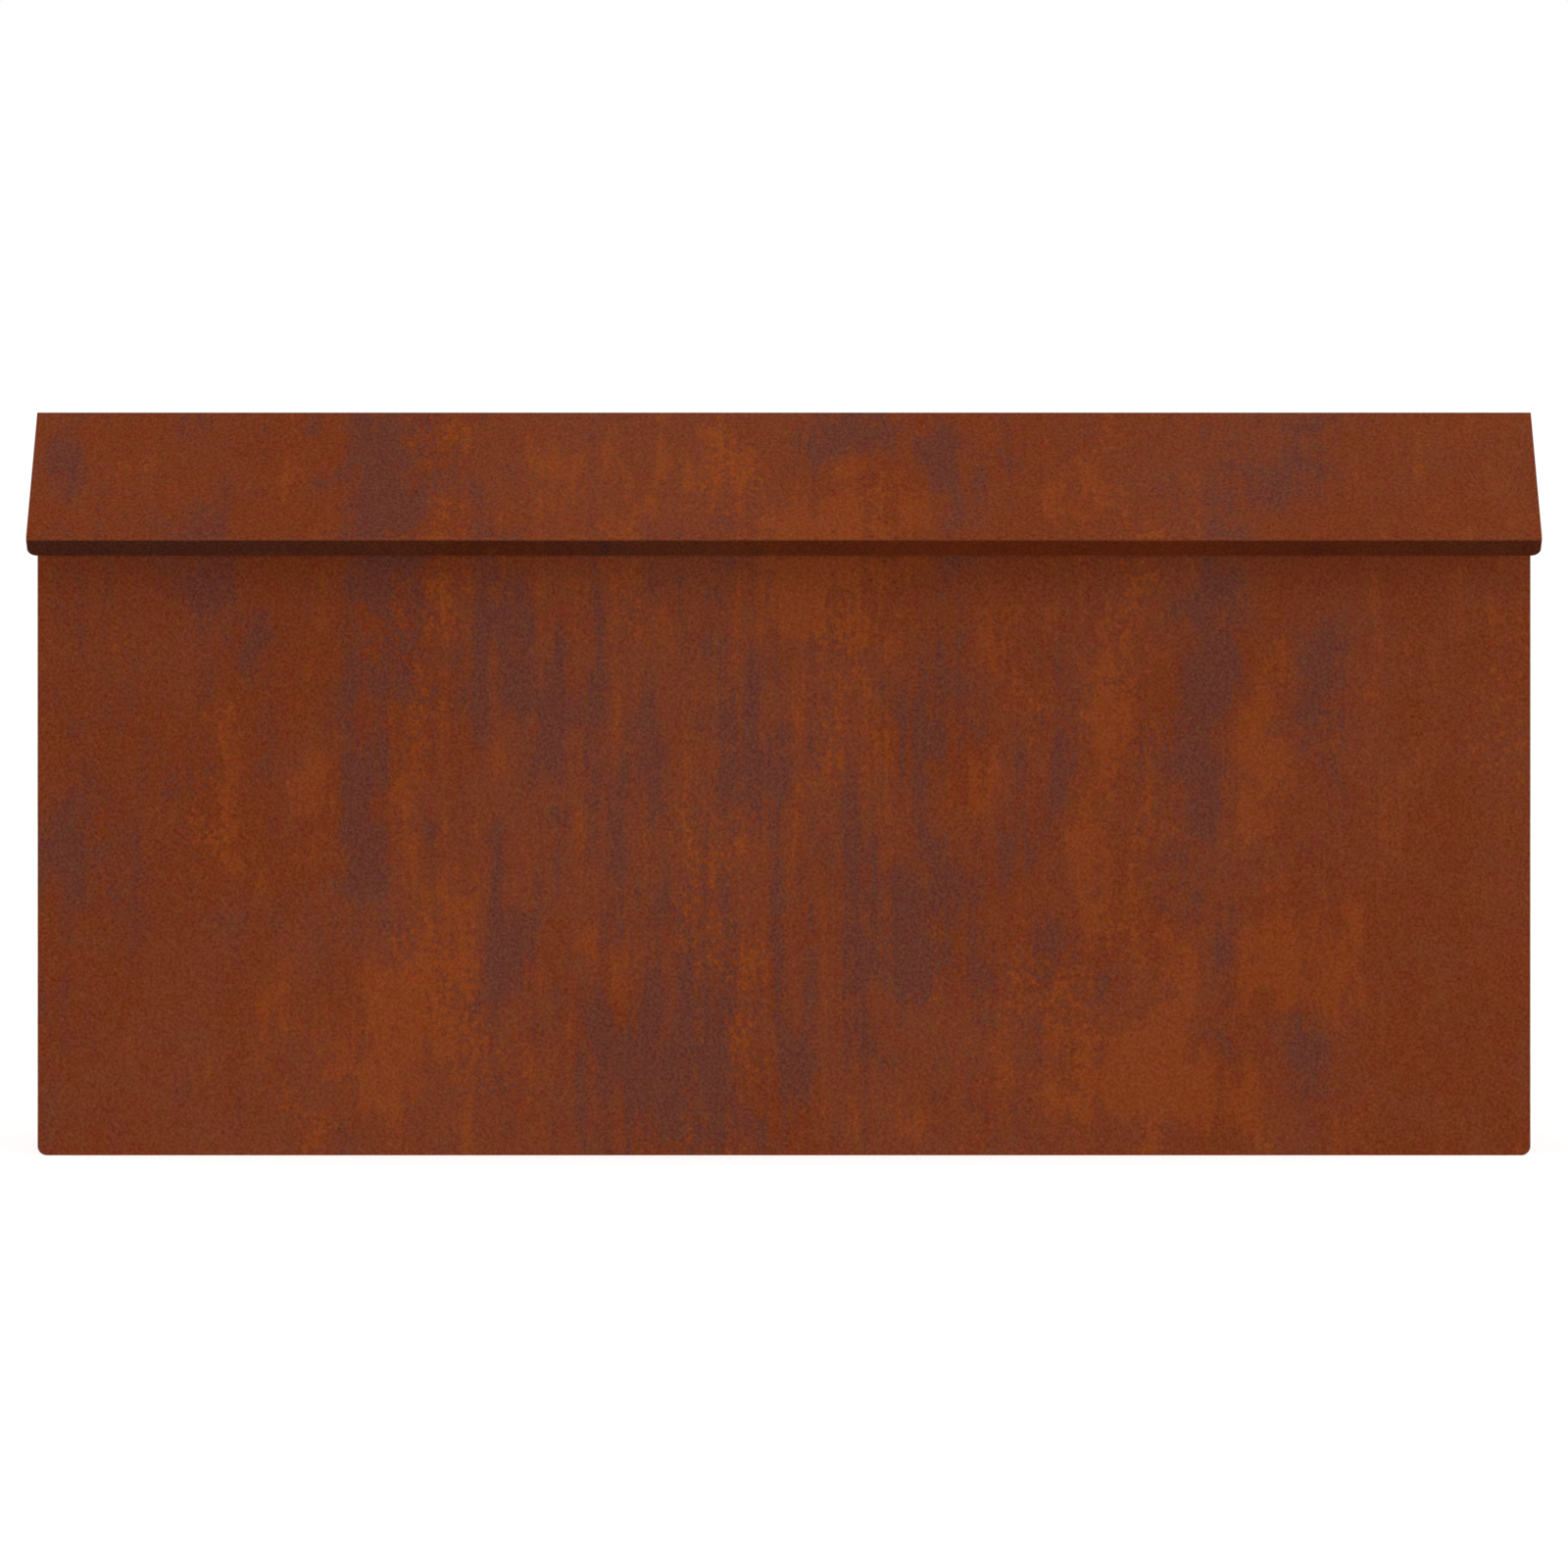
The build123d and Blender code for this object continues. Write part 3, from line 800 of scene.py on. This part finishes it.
def foot_spindle(corner, zinc):
    """Pin, hexagon collar and M12 thread in one, with a key socket in the top."""
    low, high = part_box(f"{corner}_foot_spindle")
    flats = high.y - low.y
    pin_edge, running_gap, drill_point = 0.0005, 0.0001, 0.001
    collar_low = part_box(f"{corner}_foot_pad")[1].z + running_gap
    collar_high = collar_low + COLLAR
    key_floor = high.z - KEY_DEPTH

    def key_mouth(angle):
        return hexagon_reach(KEY_FLATS, angle), high.z

    def key_bottom(angle):
        return hexagon_reach(KEY_FLATS, angle), key_floor

    below = [(0, low.z), (PIN_R - pin_edge, low.z), (PIN_R, low.z + pin_edge), (PIN_R, collar_low)]
    below += hexagon_sides(flats, collar_low, collar_high)
    above = [key_mouth, key_bottom, (0, key_floor - drill_point)]
    work = bmesh.new()
    thread = (collar_high, high.z, M12_R, M12_PITCH)
    threaded_rod(work, foot_middle(corner), *thread, below, above)
    names = (f"{corner}_foot_spindle",)
    body = f"{corner}_spindle"
    make_piece(f"{corner}_threaded_spindle", work, zinc, body, names)


def gusset_welds(face, metal):
    """Fillet welds down both sides of each gusset, along the wall and along the coping."""
    outward = Vector(inward(face)) * -1
    work = bmesh.new()
    for low, high in solid_boxes(f"{face}_coping_gussets"):
        wall_y = high.y if face == "front" else low.y
        lip_y = low.y if face == "front" else high.y
        top_y = lip_y - outward.y * (high.z - low.z) * math.tan(COPING_SLOPE)
        down_slope = Vector((0, outward.y * math.sin(COPING_SLOPE), -math.cos(COPING_SLOPE)))
        under = Vector((0, -outward.y * math.cos(COPING_SLOPE), -math.sin(COPING_SLOPE)))
        for x, away in ((low.x, Vector((-1, 0, 0))), (high.x, Vector((1, 0, 0)))):
            wall_top, wall_low = Vector((x, wall_y, high.z)), Vector((x, wall_y, low.z))
            weld_bead(work, wall_top, wall_low, away, outward)
            slope_top = Vector((x, top_y, high.z))
            slope_low = slope_top + down_slope * (high.z - low.z) / math.cos(COPING_SLOPE)
            weld_bead(work, slope_top, slope_low, away, under)
    make_piece(f"{face}_gusset_welds", work, metal, "planter", sharp=50)


# ----------------------------------------------------------------- the whole box


def dress(names, material):
    """Gives CAD nodes their finish."""
    for name in names:
        slots = nodes[name].data.materials
        slots.clear()
        slots.append(material)


def dress_frame(zinc):
    """Finishes for the sheets and washers, whose shape the frame already has."""
    dress(("front_panel",), weathering_steel("front_steel", True))
    others = ["back_panel", "left_end_panel", "right_end_panel", "front_coping_gussets"]
    others += ["back_coping_gussets", "front_stiffener", "back_stiffener", "cross_tie"]
    dress(others, weathering_steel("other_steel", False))
    brackets = [f"{side}_{face}_lifting_bracket" for side, face in CORNERS]
    tray_parts = ["floor_tray", "left_bearer", "middle_bearer", "right_bearer"]
    dress(tray_parts + brackets, galvanised_steel())
    dress(("front_stud_washers", "back_stud_washers", "tie_washers"), zinc)


def build_pieces(zinc):
    """Everything that is turned, threaded, moulded or welded."""
    rubber, welds = sole_rubber(), weld_metal()
    for face in ("front", "back"):
        wall_studs(face, zinc)
        nuts(f"{face}_stud_nuts", f"{face}_hexagon_nuts", inward(face), AXIS_Z, M8_NUT_BORE_R, zinc)
        gusset_welds(face, welds)
    nuts("tie_weld_nuts", "tie_hexagon_nuts", (0, 1, 0), AXIS_Z, M8_NUT_BORE_R, zinc)
    for kind in ("weld", "lock"):
        names = (f"foot_{kind}_nuts", f"foot_hexagon_{kind}_nuts")
        nuts(*names, (0, 0, 1), AXIS_Y, M12_NUT_BORE_R, zinc)
    tie_bolts(zinc)
    for side, face in CORNERS:
        corner = f"{side}_{face}"
        foot_sole(corner, rubber)
        foot_pad(corner, zinc)
        foot_spindle(corner, zinc)


# -------------------------------------------------------------------- the studio

CAMERA_DISTANCE = 5.812  # from the front wall
LENS = 166.0  # mm
SENSOR = 36.0  # mm
CLIP_NEAR, CLIP_FAR = 0.1, 200
LIGHT_SPREAD = math.radians(28)
FLOOR_R = 60


def camera():
    """Level with the middle of the box, straight in front of it."""
    data = bpy.data.cameras.new("camera")
    data.lens, data.sensor_width = LENS, SENSOR
    data.clip_start, data.clip_end = CLIP_NEAR, CLIP_FAR
    view = bpy.data.objects.new("camera", data)
    view.location = (0, -wall_face - CAMERA_DISTANCE, overall_height / 2)
    view.rotation_euler = (math.pi / 2, 0, 0)
    bpy.context.scene.collection.objects.link(view)
    bpy.context.scene.camera = view


def key_light(name, azimuth, elevation, strength, shadow=False):
    """A broad light from far off. Azimuth 0 is the front."""
    data = bpy.data.lights.new(name, "SUN")
    data.energy = strength
    data.angle = LIGHT_SPREAD
    data.use_shadow = shadow
    light = bpy.data.objects.new(name, data)
    light.rotation_euler = (math.radians(90 - elevation), 0, math.radians(azimuth))
    bpy.context.scene.collection.objects.link(light)


def surroundings():
    """Even light from all round, weaker from below; the backdrop itself is white."""
    world = bpy.data.worlds.new("studio")
    bpy.context.scene.world = world
    recipe = Recipe(world)
    upward = split(recipe, recipe.node("TexCoord", None, None, "Generated"))[2]
    level = step(recipe, upward, -0.15, 0.15, 0.10) + 0.20
    light = recipe.node("Background", None, {"Color": (1, 1, 1, 1), "Strength": level})
    white = recipe.node("Background", None, {"Color": (1, 1, 1, 1), "Strength": 1.0})
    seen = recipe.node("LightPath", None, None, "Is Camera Ray")
    both = recipe.node("MixShader", None, {0: seen, 1: light, 2: white})
    recipe.node("OutputWorld", None, {"Surface": both})


def floor():
    """A plain pale floor, which leaves the lighting of the box alone."""
    work = bmesh.new()
    bmesh.ops.create_circle(work, cap_ends=True, segments=96, radius=FLOOR_R)
    mesh = bpy.data.meshes.new("floor")
    work.to_mesh(mesh)
    work.free()
    ground = bpy.data.objects.new("floor", mesh)
    bpy.context.scene.collection.objects.link(ground)
    ground.visible_diffuse = False
    recipe = new_recipe("pale_floor")
    place = recipe.node("TexCoord", None, None, "Object")
    tone = 0.90 + noise(recipe, place, 3, 3) * 0.03
    colour = scaled(recipe, (1.0, 1.0, 1.0), tone)
    glow = {"Emission Color": (1, 1, 1, 1), "Emission Strength": 0.29, "Specular IOR Level": 0.0}
    mesh.materials.append(finish_surface(recipe, colour, 0.9, tone, 0.0, glow))


def studio():
    """Soft light from the front, from behind and, lower, from both ends."""
    bpy.context.scene.view_settings.view_transform = "Standard"
    surroundings()
    key_light("front_key", 0, 30, 1.61)
    key_light("front_fill", 0, 14, 0.44, shadow=True)
    key_light("back_key", 180, 30, 1.40)
    key_light("back_fill", 180, 14, 0.50, shadow=True)
    key_light("right_key", 90, 4, 1.55, shadow=True)
    key_light("left_key", -90, 4, 1.25, shadow=True)
    floor()
    camera()


zinc = zinc_plated_steel()
dress_frame(zinc)
build_pieces(zinc)
studio()
